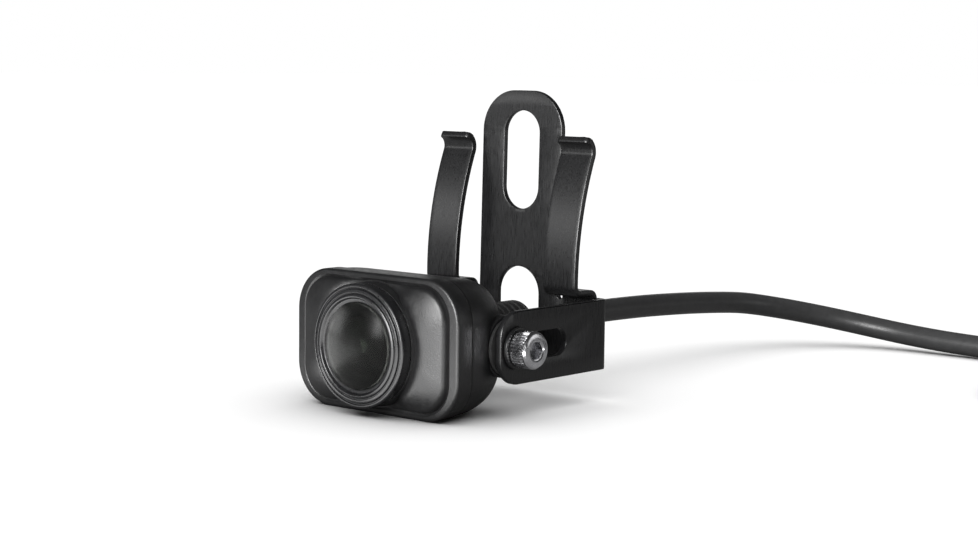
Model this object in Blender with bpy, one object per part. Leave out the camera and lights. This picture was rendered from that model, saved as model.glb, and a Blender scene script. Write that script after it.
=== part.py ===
"""Backup camera: a two-shell housing with a domed lens, held by two pivot screws in a sheet steel clip
bracket. It stands on the underside of its housing. Lens towards -Y, +Z up, +X to the right.

Lengths in the drawings below are millimetres, measured in Y from the plane of the front rim. An empty
carries them to the part's own frame, whose origin is under the middle of the camera and bracket.
"""
from math import atan2, cos, hypot, pi, radians, sin, sqrt, tan

import bmesh
import bpy
from mathutils import Matrix, Vector
from mathutils.geometry import interpolate_bezier

MM = 0.001
GAP = 0.3                     # clearance between touching pieces

# Housing
HOUSING_HALF_WIDTH = 25.75
HOUSING_HALF_HEIGHT = 16.3
HOUSING_CORNER = 10.1
AXIS_Z = HOUSING_HALF_HEIGHT  # height of the lens axis and of the pivot
RIM_ROUND = 0.9
BORDER_WIDTH = 2.6
CROWN_HEIGHT = 2.8
CROWN_RISE = 6.0
SEAM_Y = 4.85
STEP_Y = 1.9
REAR_INSET = 0.3
DOME_START_Y = 6.0
DOME_DEPTH = 21.2
DOME_INSET_X = 18.9
DOME_INSET_Z = 9.0
WALL = 2.0
REAR_Y = DOME_START_Y + DOME_DEPTH

# Lens ring, glass and optics
RING_RADIUS = 14.4
RING_FRONT_Y = -6.0
RING_BORE = 11.2
PEDESTAL_Y = -2.9
OPENING_RADIUS = 13.0
GLASS_RADIUS = 10.9
GLASS_APEX_Y = -8.6
GLASS_EDGE_Y = -6.3
GLASS_BACK_Y = -5.2
BARREL_RADIUS = 7.2

# Pivot hardware
PIVOT_Y = 18.0
HUB_RADIUS = 7.25
HUB_END_X = 24.7
SHANK_RADIUS = 2.35
HEAD_RADIUS = 4.36
HEAD_LENGTH = 4.7
HEX_ACROSS = 4.0

# Bracket, bent from one sheet
SHEET = 1.5
EAR_OUTER_X = 27.6
EAR_FRONT_Y = 12.5
EAR_BOTTOM_Z = 7.8
EAR_TOP_Z = 24.8
EAR_CORNER = 6.2
EAR_SLOT_HALF = 3.2
SLIDE_TRAVEL = 15.0
PLATE_REAR_Y = 52.4
PLATE_BEND = 1.5              # radius of the sheet's middle surface at the ears
TAB_HALF_WIDTH = 12.7
TAB_TOP_Z = 74.3
TAB_CORNER = 10.0
TAB_LEAN = radians(1.17)
TAB_SLOT_HALF = 5.6
TAB_SLOT_Z = (45.0, 69.4)
CABLE_HOLE_HALF = 6.6
CABLE_HOLE_Z = (9.8, 30.7)
ARM_INNER_X = 14.2
ARM_OUTER_X = 24.0
ARM_FOOT = 3.9
ARM_LEAN = radians(22)
ARM_SWEEP_RADIUS = 81.0
TIP_RADIUS = 3.1
TIP_ANGLE = radians(85)
TIP_STRAIGHT = 0.8

# Cable, coil and plug
CABLE_RADIUS = 3.05
RELIEF_RADIUS = 6.0
RELIEF_END_Y = 50.8
RELIEF_PITCH = 2.2
CABLE_ROUTE = [
    (0, 51.1, 16.3), (0, 62, 16.4), (0, 76, 16.5), (0, 90, 16.4), (0, 104, 16.1), (0, 118, 15.5),
    (0, 130, 14.8), (0.1, 142, 13.9), (0.9, 151, 13.0), (3.6, 159.5, 11.6), (8.9, 167.8, 9.8),
    (16.2, 174.5, 7.9), (25, 179.1, 6.1), (34.7, 181.3, 4.7), (46, 181.6, 3.8), (58, 181.6, 3.3),
    (70, 181.6, 3.1), (82, 181.6, 3.05), (94, 181.6, 3.05), (103.5, 181.6, 3.1),
]
TAIL_ROUTE = [(159.6, 118.7, 9.0), (159.6, 114, 8.4), (159.6, 109.5, 7.8), (159.6, 105.0, 7.5)]
COIL_CENTRE = (126.0, 145.0)
COIL_FLOOR = 0.9              # the coil rests on its tie
COIL_TURN = 33.55             # radius of the middle of the turns
PLUG_ENTRY = (159.6, 104.7, 7.5)

ORIGIN_Y = 22.405             # from the rim's plane to the part's origin

COLOURS = {                   # base colour, roughness, metallic
    "black_plastic": ((0.022, 0.022, 0.024), 0.42, 0.0),
    "gloss_plastic": ((0.012, 0.012, 0.013), 0.25, 0.0),
    "black_steel": ((0.02, 0.02, 0.021), 0.45, 0.6),
    "bright_steel": ((0.62, 0.62, 0.64), 0.25, 1.0),
    "brass": ((0.6, 0.42, 0.16), 0.35, 1.0),
    "rubber": ((0.018, 0.018, 0.018), 0.7, 0.0),
    "cable_rubber": ((0.02, 0.02, 0.021), 0.5, 0.0),
    "glass": ((0.03, 0.035, 0.04), 0.05, 0.0),
    "board": ((0.02, 0.12, 0.05), 0.5, 0.0),
    "white_plastic": ((0.75, 0.74, 0.7), 0.5, 0.0),
    "sensor": ((0.06, 0.05, 0.09), 0.2, 0.3),
}


# --- scene helpers ---------------------------------------------------------------------------------

def clear_scene():
    for item in list(bpy.data.objects):
        bpy.data.objects.remove(item, do_unlink=True)


def material(name):
    found = bpy.data.materials.get(name)
    if found:
        return found
    colour, roughness, metallic = COLOURS[name]
    made = bpy.data.materials.new(name)
    made.use_nodes = True
    shader = made.node_tree.nodes["Principled BSDF"]
    shader.inputs["Base Color"].default_value = (*colour, 1.0)
    shader.inputs["Roughness"].default_value = roughness
    shader.inputs["Metallic"].default_value = metallic
    return made


def add_mesh(name, bm, material_name, parent, location=(0, 0, 0)):
    """Turn millimetre geometry into a named object. The location is in millimetres too."""
    bmesh.ops.recalc_face_normals(bm, faces=bm.faces)
    bmesh.ops.scale(bm, vec=(MM, MM, MM), verts=bm.verts)
    mesh = bpy.data.meshes.new(name)
    bm.to_mesh(mesh)
    bm.free()
    mesh.shade_smooth()
    mesh.set_sharp_from_angle(angle=radians(30))
    item = bpy.data.objects.new(name, mesh)
    bpy.context.scene.collection.objects.link(item)
    if material_name:
        item.data.materials.append(material(material_name))
    item.parent = parent
    item.location = Vector(location) * MM
    return item


def make_cutter(name, bm, parent, location=(0, 0, 0)):
    cutter = add_mesh(name, bm, None, parent, location)
    cutter.hide_render = True
    cutter.display_type = "WIRE"
    return cutter


def combine(item, other, operation):
    step = item.modifiers.new(f"{operation.lower()} {other.name}", "BOOLEAN")
    step.object = other
    step.operation = operation
    step.solver = "EXACT"


def loft(rings, closed=False):
    """A surface through rings of equal point count: capped at both ends, or closed on itself."""
    bm = bmesh.new()
    rows = [[bm.verts.new(point) for point in ring] for ring in rings]
    pairs = list(zip(rows, rows[1:]))
    if closed:
        pairs.append((rows[-1], rows[0]))
    for low, high in pairs:
        count = len(low)
        for i in range(count):
            j = (i + 1) % count
            bm.faces.new((low[i], low[j], high[j], high[i]))
    if not closed:
        bm.faces.new(rows[0])
        bm.faces.new(rows[-1])
    return bm


def turned(profile, segments=48):
    """A body of revolution about Y from a closed profile of (radius, y). Radius 0 ends on the axis."""
    bm = bmesh.new()
    rows = []
    for radius, y in profile:
        if radius == 0:
            rows.append([bm.verts.new((0, y, 0))])
            continue
        angles = [2 * pi * i / segments for i in range(segments)]
        rows.append([bm.verts.new((radius * cos(a), y, radius * sin(a))) for a in angles])
    pairs = list(zip(rows, rows[1:]))
    if len(rows[0]) > 1 or len(rows[-1]) > 1:
        pairs.append((rows[-1], rows[0]))
    for low, high in pairs:
        for i in range(segments):
            j = (i + 1) % segments
            corners = [low[i % len(low)], low[j % len(low)], high[j % len(high)], high[i % len(high)]]
            corners = list(dict.fromkeys(corners))
            if len(corners) > 2:
                bm.faces.new(corners)
    return bm


def along_x(bm, side=1):
    """Turn a body made about Y so that its +Y end points towards side * X."""
    bmesh.ops.rotate(bm, cent=(0, 0, 0), matrix=Matrix.Rotation(-side * pi / 2, 3, "Z"), verts=bm.verts)
    return bm


def box(low, high):
    bm = bmesh.new()
    size = Vector(high) - Vector(low)
    centre = (Vector(high) + Vector(low)) / 2
    bmesh.ops.create_cube(bm, size=1.0, matrix=Matrix.Translation(centre) @ Matrix.Diagonal((*size, 1)))
    return bm


def tube(radius, start_y, end_y, segments=24):
    return turned([(0, start_y), (radius, start_y), (radius, end_y), (0, end_y)], segments)


def ring(outer, inner, start_y, end_y, segments=48):
    return turned([(outer, start_y), (outer, end_y), (inner, end_y), (inner, start_y)], segments)


# --- housing ---------------------------------------------------------------------------------------

def outline(half_width, half_height, corner, corner_steps=6, side_steps=6):
    """Points round a rounded rectangle in X and Z, the same number at the same places every time."""
    points = []
    centres = ((1, 1, 0), (-1, 1, 90), (-1, -1, 180), (1, -1, 270))
    arcs = []
    for sign_x, sign_z, start in centres:
        cx = sign_x * (half_width - corner)
        cz = sign_z * (half_height - corner)
        angles = [radians(start + 90 * i / corner_steps) for i in range(corner_steps + 1)]
        arcs.append([(cx + corner * cos(a), cz + corner * sin(a)) for a in angles])
    for arc, following in zip(arcs, arcs[1:] + arcs[:1]):
        points.extend(arc)
        (x0, z0), (x1, z1) = arc[-1], following[0]
        for i in range(1, side_steps):
            t = i / side_steps
            points.append((x0 + (x1 - x0) * t, z0 + (z1 - z0) * t))
    return points


RIM = outline(HOUSING_HALF_WIDTH, HOUSING_HALF_HEIGHT, HOUSING_CORNER)


def inset_outline(inset):
    corner = max(HOUSING_CORNER - inset, 2.0)
    return outline(HOUSING_HALF_WIDTH - inset, HOUSING_HALF_HEIGHT - inset, corner)


def circle(radius):
    """A circle whose points lie at the same angles as the rim's points."""
    return [(radius * cos(atan2(z, x)), radius * sin(atan2(z, x))) for x, z in RIM]


def at(points, y):
    return [(x, y, z + AXIS_Z) for x, z in points]


def crown_rings():
    """Rings of the front face from the border strip's inner edge to the foot of the pedestal."""
    foot = circle(RING_RADIUS + 0.15)
    border = []
    for (x, z), (fx, fz) in zip(inset_outline(BORDER_WIDTH), foot):
        outside = hypot(x, z) < hypot(fx, fz) + 0.3
        scale = (hypot(fx, fz) + 0.3) / hypot(x, z) if outside else 1.0
        border.append((x * scale, z * scale))
    rings = [at(border, 0.0)]
    for t in (0.12, 0.28, 0.5, 0.75, 1.0):
        points = []
        for (bx, bz), (fx, fz) in zip(border, foot):
            x = bx + (fx - bx) * t
            z = bz + (fz - bz) * t
            rise = min(hypot(bx - x, bz - z) / CROWN_RISE, 1.0)
            height = CROWN_HEIGHT * sqrt(1 - (1 - rise) ** 2)
            points.append((x, -height, z + AXIS_Z))
        rings.append(points)
    return rings


def front_shell(parent):
    rings = [at(inset_outline(1.1), SEAM_Y), at(inset_outline(0), SEAM_Y)]
    for step in range(5):
        angle = pi / 2 * step / 4
        inset = RIM_ROUND * (1 - cos(angle))
        rings.append(at(inset_outline(inset), RIM_ROUND * (1 - sin(angle))))
    rings.extend(crown_rings())
    rings.append(at(circle(RING_RADIUS), PEDESTAL_Y))
    rings.append(at(circle(OPENING_RADIUS), PEDESTAL_Y))
    rings.append(at(circle(OPENING_RADIUS), PEDESTAL_Y + WALL))
    rings.append(at(inset_outline(3.1), STEP_Y - 0.8))
    rings.append(at(inset_outline(2.8), STEP_Y))
    rings.append(at(inset_outline(1.1), STEP_Y))
    shell = add_mesh("front_shell", loft(rings, closed=True), "black_plastic", parent)
    for number, (x, z) in enumerate(screw_places(), 1):
        boss = make_cutter(f"front_boss_{number}", tube(2.6, -0.4, 4.6, 20), parent, (x, 0, z))
        combine(shell, boss, "UNION")
        hole = make_cutter(f"front_screw_hole_{number}", tube(1.25, 0.6, 9, 16), parent, (x, 0, z))
        combine(shell, hole, "DIFFERENCE")


def screw_places():
    """Housing screws, one near each corner."""
    return [(sx * 16.0, AXIS_Z + sz * 10.4) for sx in (-1, 1) for sz in (-1, 1)]


def rear_section(angle, wall):
    """The rear shell's outline where its rounded back has turned by angle, set in by wall."""
    turn = 1 - cos(angle)
    half_width = HOUSING_HALF_WIDTH - REAR_INSET - wall - DOME_INSET_X * turn
    half_height = HOUSING_HALF_HEIGHT - REAR_INSET - wall - DOME_INSET_Z * turn
    corner = HOUSING_CORNER - 0.75 * wall - 4.6 * turn
    corner = min(corner, half_width - 0.05, half_height - 0.05)
    y = DOME_START_Y + (DOME_DEPTH - wall) * sin(angle)
    return at(outline(half_width, half_height, corner), y)


def rear_shell(parent):
    front_y = SEAM_Y + GAP
    tongue_y = 3.6
    rings = [at(inset_outline(1.4), front_y), at(inset_outline(REAR_INSET), front_y)]
    steps = 7
    rings.extend(rear_section(pi / 2 * i / steps, 0.0) for i in range(steps + 1))
    rings.append(at(circle(4.4), REAR_Y))
    rings.append(at(circle(4.4), REAR_Y - WALL))
    rings.extend(rear_section(pi / 2 * i / steps, WALL) for i in range(steps, -1, -1))
    rings.append(at(inset_outline(2.4), tongue_y))
    rings.append(at(inset_outline(1.4), tongue_y))
    shell = add_mesh("rear_shell", loft(rings, closed=True), "black_plastic", parent)
    for number, (x, z) in enumerate(screw_places(), 1):
        pillar = make_cutter(f"rear_pillar_{number}", tube(2.9, 5.4, 19.6, 20), parent, (x, 0, z))
        combine(shell, pillar, "UNION")
    for name, side in (("left", -1), ("right", 1)):
        place = (0, PIVOT_Y, AXIS_Z)
        hub = make_cutter(f"hub_{name}", along_x(tube(HUB_RADIUS, 15.2, HUB_END_X, 28), side), parent, place)
        combine(shell, hub, "UNION")
        bore = make_cutter(f"hub_bore_{name}", along_x(tube(3.9, 16.5, 30, 20), side), parent, place)
        combine(shell, bore, "DIFFERENCE")
    for number, (x, z) in enumerate(screw_places(), 1):
        hole = make_cutter(f"rear_screw_hole_{number}", tube(1.3, 4, 24, 16), parent, (x, 0, z))
        combine(shell, hole, "DIFFERENCE")
        seat = make_cutter(f"rear_screw_seat_{number}", tube(2.35, 15.0, 30, 20), parent, (x, 0, z))
        combine(shell, seat, "DIFFERENCE")


def housing_gasket(parent):
    rings = [at(inset_outline(1.45), 2.2), at(inset_outline(1.45), 3.3)]
    rings.extend([at(inset_outline(2.4), 3.3), at(inset_outline(2.4), 2.2)])
    add_mesh("housing_gasket", loft(rings, closed=True), "rubber", parent)


def housing_screws(parent):
    for number, (x, z) in enumerate(screw_places(), 1):
        profile = [(0, 1.2), (0.95, 1.2), (0.95, 15.3), (2.0, 15.3), (2.0, 16.6), (1.5, 17.1), (0, 17.1)]
        screw = add_mesh(f"housing_screw_{number}", turned(profile, 20), "bright_steel", parent, (x, 0, z))
        for turn in (0, 90):
            blade = box((-1.25, 16.3, -0.25), (1.25, 18, 0.25))
            bmesh.ops.rotate(blade, cent=(0, 0, 0), matrix=Matrix.Rotation(radians(turn), 3, "Y"),
                             verts=blade.verts)
            cutter = make_cutter(f"housing_screw_{number}_recess_{turn}", blade, parent, (x, 0, z))
            combine(screw, cutter, "DIFFERENCE")


# --- lens ------------------------------------------------------------------------------------------

def dome(radius, edge_y, apex_y, steps):
    """Profile points of a shallow dome about Y, from its rim to its apex on the axis."""
    height = edge_y - apex_y
    sphere = (radius ** 2 + height ** 2) / (2 * height)
    widest = atan2(radius, sphere - height)
    angles = [widest * (1 - i / steps) for i in range(steps)]
    centre_y = apex_y + sphere
    return [(sphere * sin(a), centre_y - sphere * cos(a)) for a in angles] + [(0, apex_y)]


def lens_ring(parent):
    profile = [
        (RING_RADIUS, PEDESTAL_Y - GAP), (RING_RADIUS, RING_FRONT_Y + 0.4), (14.0, RING_FRONT_Y),
        (13.5, RING_FRONT_Y), (13.3, -5.7), (13.1, -6.2), (11.5, -6.6), (RING_BORE, -6.35),
        (RING_BORE, -3.9), (9.6, -3.9), (9.6, 1.0), (12.7, 1.0), (12.7, PEDESTAL_Y - GAP),
    ]
    add_mesh("lens_ring", turned(profile, 48), "gloss_plastic", parent, (0, 0, AXIS_Z))


def optics(parent):
    place = (0, 0, AXIS_Z)
    outer = dome(GLASS_RADIUS, GLASS_EDGE_Y, GLASS_APEX_Y, 5)
    inner = dome(9.4, GLASS_BACK_Y, GLASS_APEX_Y + 1.5, 4)
    glass = outer[::-1] + [(GLASS_RADIUS, GLASS_BACK_Y)] + inner
    add_mesh("front_glass", turned(glass, 36), "glass", parent, place)
    add_mesh("glass_seal", ring(10.9, 9.8, -4.9, -4.2, 36), "rubber", parent, place)
    barrel = [
        (BARREL_RADIUS, -3.6), (BARREL_RADIUS, 10.8), (5.6, 10.8), (5.6, 3.1), (5.0, 3.1), (5.0, 1.4),
        (5.6, 1.4), (5.6, -1.9), (6.5, -1.9), (6.5, -3.6),
    ]
    add_mesh("lens_barrel", turned(barrel, 28), "black_plastic", parent, place)
    front = dome(6.2, -3.3, -5.4, 4)[::-1] + [(6.2, -2.2), (0, -2.2)]
    add_mesh("front_lens_element", turned(front, 28), "glass", parent, place)
    add_mesh("aperture_ring", ring(4.7, 1.6, 1.8, 2.6, 24), "black_plastic", parent, place)
    rear = dome(5.3, 6.4, 5.2, 3)[::-1] + [(5.3, 7.4), (0, 7.4)]
    add_mesh("rear_lens_element", turned(rear, 24), "glass", parent, place)
    add_mesh("infrared_filter", tube(5.3, 9.4, 9.9), "glass", parent, place)


def lens_holder(parent):
    holder = add_mesh("lens_holder", box((-9, 6, -9), (9, 13, 9)), "black_plastic", parent, (0, 0, AXIS_Z))
    bore = make_cutter("lens_holder_bore", tube(BARREL_RADIUS + GAP, 5, 12), parent, (0, 0, AXIS_Z))
    pocket = make_cutter("lens_holder_pocket", box((-7, 11.1, -7), (7, 14, 7)), parent, (0, 0, AXIS_Z))
    combine(holder, bore, "DIFFERENCE")
    combine(holder, pocket, "DIFFERENCE")


def electronics(parent):
    place = (0, 0, AXIS_Z)
    add_mesh("image_sensor", box((-4, 12, -3.5), (4, 13, 3.5)), "sensor", parent, place)
    add_mesh("sensor_board", box((-12, 13.3, -10), (12, 14.5, 10)), "board", parent, place)
    add_mesh("main_board", box((-13, 18.3, -9.5), (13, 19.5, 9.5)), "board", parent, place)
    corners = [(sx * 9.5, sz * 7.5) for sx in (-1, 1) for sz in (-1, 1)]
    for number, (x, z) in enumerate(corners, 1):
        spacer = tube(1.5, 14.8, 18.0, 16)
        add_mesh(f"board_spacer_{number}", spacer, "brass", parent, (x, 0, AXIS_Z + z))
    add_mesh("shield_can", box((-6, 19.8, -0.8), (6, 21.4, 7.2)), "bright_steel", parent, place)
    add_mesh("wire_connector", box((-4, 19.8, -8.2), (4, 23.8, -4.1)), "white_plastic", parent, place)
    lead = [(0, 23.7, 16.3), (0, 23.3, 16.2), (0, 22.95, 15.9), (0, 22.75, 15.4), (0, 22.7, 14.8),
            (0, 22.7, 13.6), (0, 22.7, 12.5)]
    cord("inner_lead", lead, 0.85, "cable_rubber", parent)


# --- pivot hardware --------------------------------------------------------------------------------

def pivot_hardware(parent):
    """Both sides alike: insert in the hub, friction washer, then flat washer and screw outside the ear."""
    place = (0, PIVOT_Y, AXIS_Z)
    for name, side in (("left", -1), ("right", 1)):
        insert = along_x(ring(3.6, 2.65, 17.0, 24.4, 20), side)
        add_mesh(f"thread_insert_{name}", insert, "brass", parent, place)
        friction = along_x(ring(6.8, 2.8, HUB_END_X + GAP, EAR_OUTER_X - SHEET - GAP, 28), side)
        add_mesh(f"friction_washer_{name}", friction, "rubber", parent, place)
        washer_x = EAR_OUTER_X + GAP
        flat = along_x(ring(4.9, 2.75, washer_x, washer_x + 0.8, 28), side)
        add_mesh(f"flat_washer_{name}", flat, "black_steel", parent, place)
        pivot_screw(name, side, washer_x + 0.8 + 0.25, parent)


def pivot_screw(name, side, head_x, parent):
    end_x = head_x + HEAD_LENGTH
    profile = [
        (0, 17.4), (SHANK_RADIUS - 0.4, 17.4), (SHANK_RADIUS, 17.9), (SHANK_RADIUS, head_x),
        (HEAD_RADIUS - 0.2, head_x), (HEAD_RADIUS, head_x + 0.25), (HEAD_RADIUS, end_x - 0.7),
        (HEAD_RADIUS - 0.2, end_x - 0.25), (HEAD_RADIUS - 0.7, end_x), (0, end_x),
    ]
    place = (0, PIVOT_Y, AXIS_Z)
    screw = add_mesh(f"pivot_screw_{name}", along_x(turned(profile, 28), side), "bright_steel", parent, place)
    corner_radius = HEX_ACROSS / 2 / cos(pi / 6)
    socket = along_x(tube(corner_radius, end_x - 2.6, end_x + 1, 6), side)
    combine(screw, make_cutter(f"hex_socket_{name}", socket, parent, place), "DIFFERENCE")


# --- bracket ---------------------------------------------------------------------------------------

def arm_path():
    """Middle line of a spring arm as (y, z, heading), by arc length from the back plate's top edge."""
    segments = [                                      # (radius, angle): left turns are positive
        (1.7, pi / 2, 6), (None, ARM_FOOT, 1), (1.9, -pi / 2, 6), (None, 0.5, 1),
        (ARM_SWEEP_RADIUS, -ARM_LEAN, 8), (TIP_RADIUS, TIP_ANGLE, 8), (None, TIP_STRAIGHT, 1),
    ]
    y = PLATE_REAR_Y - SHEET / 2
    z = EAR_TOP_Z - 0.45
    heading = pi / 2                                  # straight up; pi points forward, towards -Y
    length = 0.0
    stations = [(length, y, z, heading)]
    for radius, amount, steps in segments:
        for _ in range(steps):
            if radius is None:
                step = amount / steps
                y += step * cos(heading)
                z += step * sin(heading)
            else:
                turn = amount / steps
                step = radius * abs(turn)
                chord = 2 * radius * sin(abs(turn) / 2)
                y += chord * cos(heading + turn / 2)
                z += chord * sin(heading + turn / 2)
                heading += turn
            length += step
            stations.append((length, y, z, heading))
    return stations


ARM = arm_path()
ARM_START_V = EAR_TOP_Z - 0.45
BEND_START_U = EAR_OUTER_X - SHEET / 2 - PLATE_BEND
BEND_END_U = BEND_START_U + PLATE_BEND * pi / 2
EAR_END_U = BEND_END_U + (PLATE_REAR_Y - SHEET / 2 - PLATE_BEND) - EAR_FRONT_Y


def fold(u, v, offset):
    """Place a point of the flat sheet, offset mm in front of its middle, in the bent bracket."""
    if ARM_INNER_X - 0.01 < abs(u) < ARM_OUTER_X + 0.01 and v > ARM_START_V:
        travelled = v - ARM_START_V
        for (s0, y0, z0, h0), (s1, y1, z1, h1) in zip(ARM, ARM[1:]):
            if travelled <= s1 + 1e-6:
                break
        t = min((travelled - s0) / (s1 - s0), 1.0)
        y, z, heading = y0 + (y1 - y0) * t, z0 + (z1 - z0) * t, h0 + (h1 - h0) * t
        return (u, y + offset * cos(heading + pi / 2), z + offset * sin(heading + pi / 2))
    side = 1 if u > 0 else -1
    reach = abs(u)
    middle_y = PLATE_REAR_Y - SHEET / 2
    if reach <= BEND_START_U:
        lean = max(v - EAR_TOP_Z, 0) * tan(TAB_LEAN)
        return (u, middle_y - offset + lean, v)
    angle = min((reach - BEND_START_U) / PLATE_BEND, pi / 2)
    radius = PLATE_BEND - offset
    x = BEND_START_U + radius * sin(angle)
    y = middle_y - PLATE_BEND + radius * cos(angle)
    if reach > BEND_END_U:
        y -= reach - BEND_END_U
    return (side * x, y, v)


def arc_points(cu, cv, radius, start, end, steps):
    angles = [radians(start + (end - start) * i / steps) for i in range(steps + 1)]
    return [(cu + radius * cos(a), cv + radius * sin(a)) for a in angles]


def upright_slot(half_width, low, high, steps=10):
    upper = arc_points(0, high - half_width, half_width, 0, 180, steps)
    lower = arc_points(0, low + half_width, half_width, 180, 360, steps)
    return upper + lower


def sheet_outline():
    """Right half of the flat sheet's edge, from the bottom middle to the top middle."""
    top = ARM_START_V + ARM[-1][0]
    half = [(0, EAR_BOTTOM_Z)]
    half += arc_points(EAR_END_U - EAR_CORNER, EAR_BOTTOM_Z + EAR_CORNER, EAR_CORNER, -90, 0, 8)
    half += arc_points(EAR_END_U - EAR_CORNER, EAR_TOP_Z - EAR_CORNER, EAR_CORNER, 0, 90, 8)
    half += [(ARM_OUTER_X + 1.0, EAR_TOP_Z), (ARM_OUTER_X, EAR_TOP_Z - 0.45), (ARM_OUTER_X, top - 1.0)]
    half += [(ARM_OUTER_X - 1.0, top), (ARM_INNER_X + 1.0, top), (ARM_INNER_X, top - 1.0)]
    slit = (ARM_INNER_X - TAB_HALF_WIDTH) / 2
    half += [(ARM_INNER_X, EAR_TOP_Z - 0.45)]
    half += arc_points(ARM_INNER_X - slit, EAR_TOP_Z - 0.45, slit, -45, -180, 5)
    half += arc_points(TAB_HALF_WIDTH - TAB_CORNER, TAB_TOP_Z - TAB_CORNER, TAB_CORNER, 0, 90, 10)
    return half


def mounting_bracket(parent):
    half = sheet_outline()
    edge = half + [(-u, v) for u, v in reversed(half[1:])]
    slot_u = BEND_END_U + (PLATE_REAR_Y - SHEET / 2 - PLATE_BEND) - PIVOT_Y
    far_u = slot_u - SLIDE_TRAVEL
    ear_slot = arc_points(slot_u, AXIS_Z, EAR_SLOT_HALF, -90, 90, 8)
    ear_slot += arc_points(far_u, AXIS_Z, EAR_SLOT_HALF, 90, 270, 8)
    holes = [ear_slot, [(-u, v) for u, v in ear_slot], upright_slot(TAB_SLOT_HALF, *TAB_SLOT_Z),
             upright_slot(CABLE_HOLE_HALF, *CABLE_HOLE_Z)]
    flat = bmesh.new()
    for loop in [edge] + holes:
        points = [flat.verts.new((u, v, 0)) for u, v in loop]
        for a, b in zip(points, points[1:] + points[:1]):
            flat.edges.new((a, b))
    bmesh.ops.triangle_fill(flat, edges=flat.edges[:], use_beauty=True, use_dissolve=False)
    for side in (-1, 1):
        for i in range(6):
            cut_flat(flat, (side * (BEND_START_U + PLATE_BEND * pi / 2 * i / 5), 0, 0), (1, 0, 0))
    for v in [EAR_TOP_Z] + [ARM_START_V + s for s, _, _, _ in ARM[:-1]]:
        cut_flat(flat, (0, v, 0), (0, 1, 0))
    add_mesh("mounting_bracket", thicken(flat), "black_steel", parent)


def cut_flat(flat, point, normal):
    geometry = flat.verts[:] + flat.edges[:] + flat.faces[:]
    bmesh.ops.bisect_plane(flat, geom=geometry, dist=1e-5, plane_co=point, plane_no=normal)


def thicken(flat):
    """Fold both faces of the flat sheet into place and close its edges."""
    solid = bmesh.new()
    flat.verts.index_update()
    front = [solid.verts.new(fold(v.co.x, v.co.y, SHEET / 2)) for v in flat.verts]
    back = [solid.verts.new(fold(v.co.x, v.co.y, -SHEET / 2)) for v in flat.verts]
    for face in flat.faces:
        order = [v.index for v in face.verts]
        solid.faces.new([front[i] for i in order])
        solid.faces.new([back[i] for i in reversed(order)])
    for edge in flat.edges:
        if len(edge.link_faces) == 1:
            a, b = (v.index for v in edge.verts)
            solid.faces.new((front[a], front[b], back[b], back[a]))
    flat.free()
    bmesh.ops.triangulate(solid, faces=solid.faces[:])
    return solid


# --- cable -----------------------------------------------------------------------------------------

def smooth_route(points, steps):
    """Points on a smooth curve through the route's own points, steps for each stretch."""
    nodes = [Vector(p) for p in points]
    before = [nodes[0] * 2 - nodes[1]] + nodes[:-1]
    after = nodes[1:] + [nodes[-1] * 2 - nodes[-2]]
    slopes = [(b - a) / 6 for a, b in zip(before, after)]
    curve = [nodes[0]]
    for p0, p1, s0, s1 in zip(nodes, nodes[1:], slopes, slopes[1:]):
        curve.extend(interpolate_bezier(p0, p0 + s0, p1 - s1, p1, steps + 1)[1:])
    return curve


def cord(name, points, radius, material_name, parent):
    data = bpy.data.curves.new(name, "CURVE")
    data.dimensions = "3D"
    data.bevel_depth = radius * MM
    data.bevel_resolution = 2
    data.use_fill_caps = True
    spline = data.splines.new("POLY")
    spline.points.add(len(points) - 1)
    for slot, point in zip(spline.points, points):
        slot.co = (*(Vector(point) * MM), 1)
    item = bpy.data.objects.new(name, data)
    bpy.context.scene.collection.objects.link(item)
    data.materials.append(material(material_name))
    item.parent = parent
    return item


def strain_relief(parent):
    """Ribbed sleeve from the housing's back to just in front of the bracket's plate."""
    profile = [(3.3, 24.0), (4.1, 24.0), (4.1, REAR_Y + GAP), (6.2, REAR_Y + GAP), (6.2, 30.2)]
    y = 32.0
    while y + RELIEF_PITCH < RELIEF_END_Y - 1.5:
        profile.extend([(4.9, y), (4.9, y + 0.8), (RELIEF_RADIUS, y + 0.8), (RELIEF_RADIUS, y + RELIEF_PITCH)])
        y += RELIEF_PITCH
    profile.extend([(RELIEF_RADIUS, RELIEF_END_Y - 0.6), (5.4, RELIEF_END_Y), (0, RELIEF_END_Y), (0, 24.0)])
    add_mesh("strain_relief", turned(profile, 24), "rubber", parent, (0, 0, AXIS_Z))


def coil_and_tie(parent):
    inner, outer = COIL_TURN - 6.25, COIL_TURN + 6.25
    section = [
        (inner, 1.2), (inner + 1, 0), (outer - 1, 0), (outer, 1.2), (outer, 4.6), (outer - 2.8, 10.3),
        (outer - 4.6, 11.5), (inner + 4.6, 11.5), (inner + 2.8, 10.3), (inner, 4.6),
    ]
    coil = turned([(radius, -z) for radius, z in section], 40)
    stand = Matrix.Rotation(-pi / 2, 3, "X")
    bmesh.ops.rotate(coil, cent=(0, 0, 0), matrix=stand, verts=coil.verts)
    add_mesh("cable_coil", coil, "cable_rubber", parent, (*COIL_CENTRE, COIL_FLOOR))
    half_width = 3.5
    inside = GAP + 0.3        # the turns curve across the strap's width
    outside = inside + 0.5
    middle_z = 5.75
    rings = []
    for x, grow in ((-half_width, inside), (-half_width, outside), (half_width, outside), (half_width, inside)):
        points = []
        for r, z in section:
            wider = 1 + grow / 6.25
            taller = 1 + (grow - 0.3) / 5.75
            points.append((x, COIL_TURN + (r - COIL_TURN) * wider, middle_z + (z - middle_z) * taller))
        rings.append(points)
    tie = add_mesh("coil_tie", loft(rings, closed=True), "rubber", parent, (*COIL_CENTRE, COIL_FLOOR))
    tie.rotation_euler.z = radians(-50)


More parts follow.
